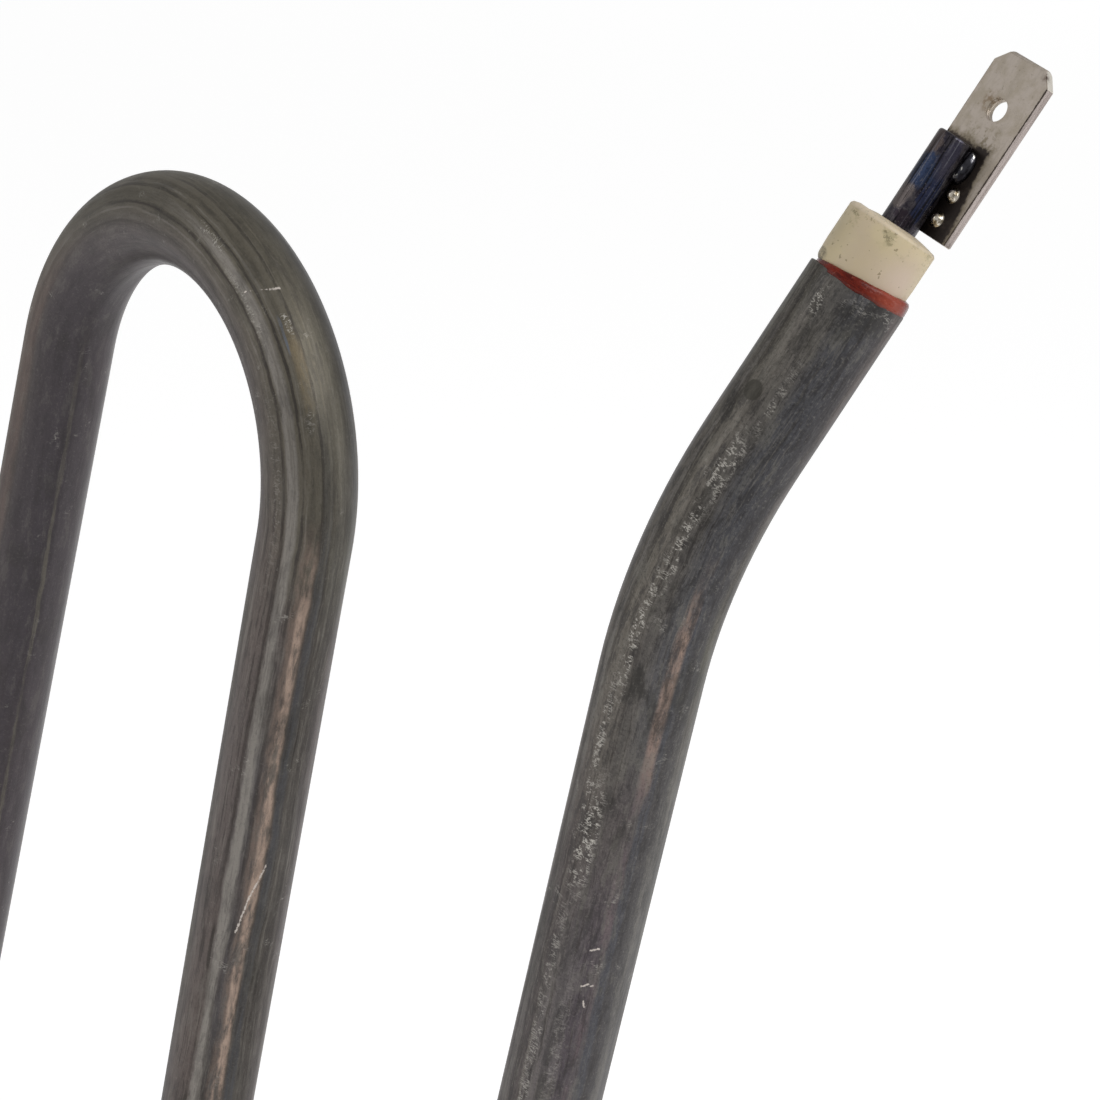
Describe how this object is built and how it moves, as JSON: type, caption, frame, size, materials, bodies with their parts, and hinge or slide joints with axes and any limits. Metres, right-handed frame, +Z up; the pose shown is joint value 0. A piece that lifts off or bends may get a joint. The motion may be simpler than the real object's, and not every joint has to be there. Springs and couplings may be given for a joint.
{
  "type": "tubular heating element",
  "caption": "W-shaped sheathed heating element with a middle hairpin, ends bent out of plane, ceramic bushes, silicone seals and push-on tabs.",
  "frame": {"origin": "on the symmetry axis, in the plane of the tube run, level with the foot of the return bends", "axes": "+X across the run towards the right-hand terminal, +Y out of the run's plane towards the side that the ends lean to, +Z up along the legs"},
  "size_m": [0.1342, 0.0267, 0.2746],
  "materials": {
    "sheath_steel": "satin",
    "magnesia": "matte",
    "coil_wire": "satin",
    "pin_steel": "satin",
    "silicone": "gloss",
    "bush_ceramic": "matte",
    "tab_steel": "satin"
  },
  "bodies": {
    "root": {"sheath": "sheath_steel", "magnesia_filling": "magnesia", "heating_coil": "coil_wire", "terminal_pin_right": "pin_steel", "silicone_seal_right": "silicone", "ceramic_bush_right": "bush_ceramic", "terminal_tab_right": "tab_steel", "terminal_pin_left": "pin_steel", "silicone_seal_left": "silicone", "ceramic_bush_left": "bush_ceramic", "terminal_tab_left": "tab_steel"}
  },
  "joints": []
}
